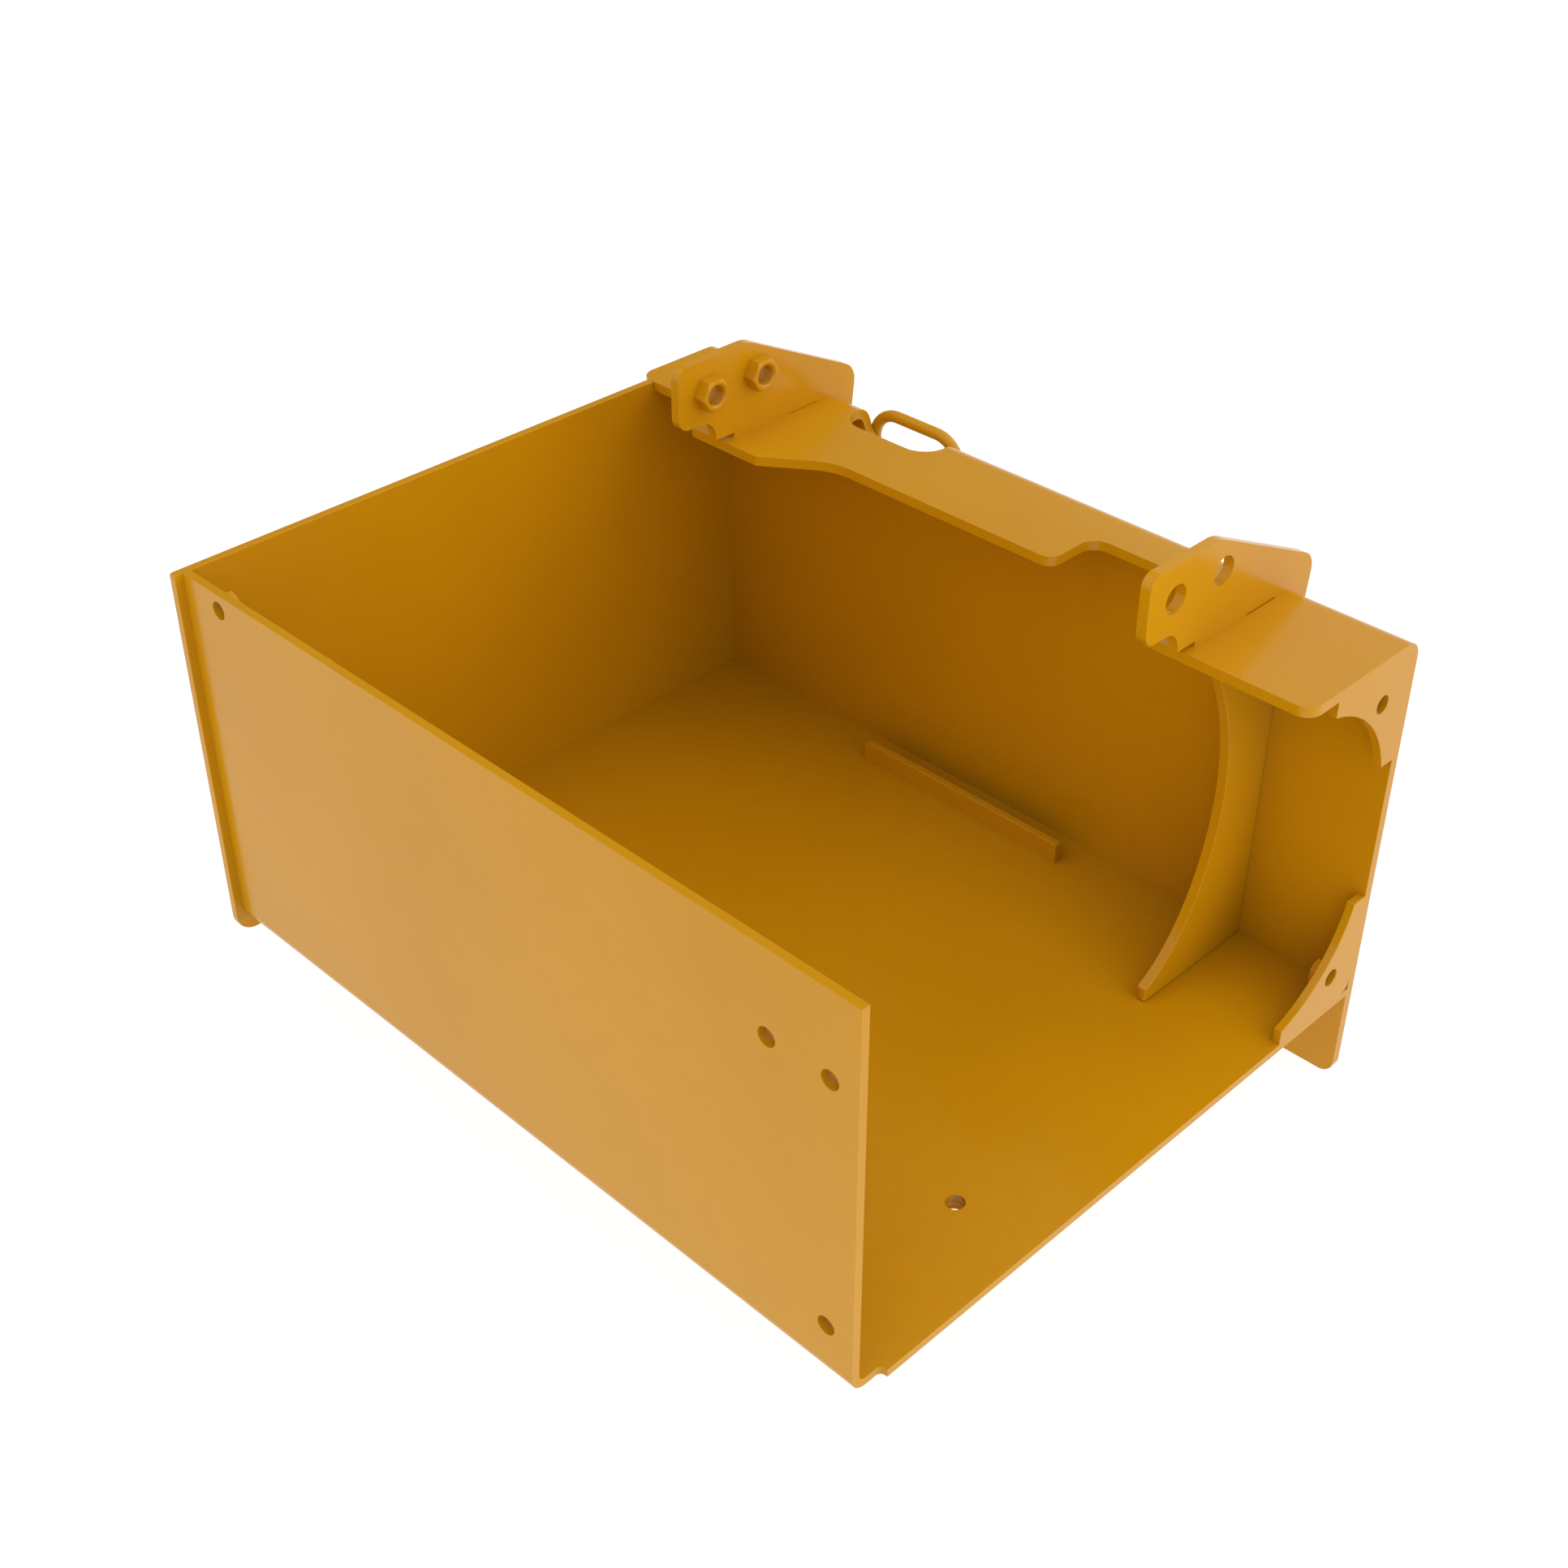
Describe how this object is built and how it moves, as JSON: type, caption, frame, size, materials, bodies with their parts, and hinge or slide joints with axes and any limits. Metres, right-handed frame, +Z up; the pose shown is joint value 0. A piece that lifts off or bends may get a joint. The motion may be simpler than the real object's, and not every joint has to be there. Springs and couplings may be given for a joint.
{
  "type": "open plate equipment box",
  "caption": "Welded plate box, open at the top and right end, with a folded flange, hanging lugs, weld nuts and a rear grab handle.",
  "frame": {"origin": "bottom centre of the bounding box", "axes": "+X along the box from the closed left end to the open right end, +Y from the front wall to the back plate, +Z up"},
  "size_m": [0.8418, 0.6998, 0.5773],
  "materials": {
    "plate_paint": "satin yellow-tan enamel over steel plate",
    "nut_paint": "the same enamel over steel nuts",
    "bar_paint": "the same enamel over round steel bar"
  },
  "bodies": {
    "root": {"floor_front_plate": "plate_paint", "left_end_plate": "plate_paint", "back_plate": "plate_paint", "inner_rib": "plate_paint", "upper_end_gusset": "plate_paint", "lower_end_gusset": "plate_paint", "floor_stop_bar": "plate_paint", "lug_left": "plate_paint", "lug_right": "plate_paint", "lug_nut_1": "nut_paint", "lug_nut_2": "nut_paint", "wall_nut_1": "nut_paint", "wall_nut_2": "nut_paint", "wall_nut_3": "nut_paint", "wall_nut_4": "nut_paint", "floor_nut": "nut_paint", "gusset_nut_1": "nut_paint", "gusset_nut_2": "nut_paint", "grab_handle": "bar_paint"}
  },
  "joints": []
}
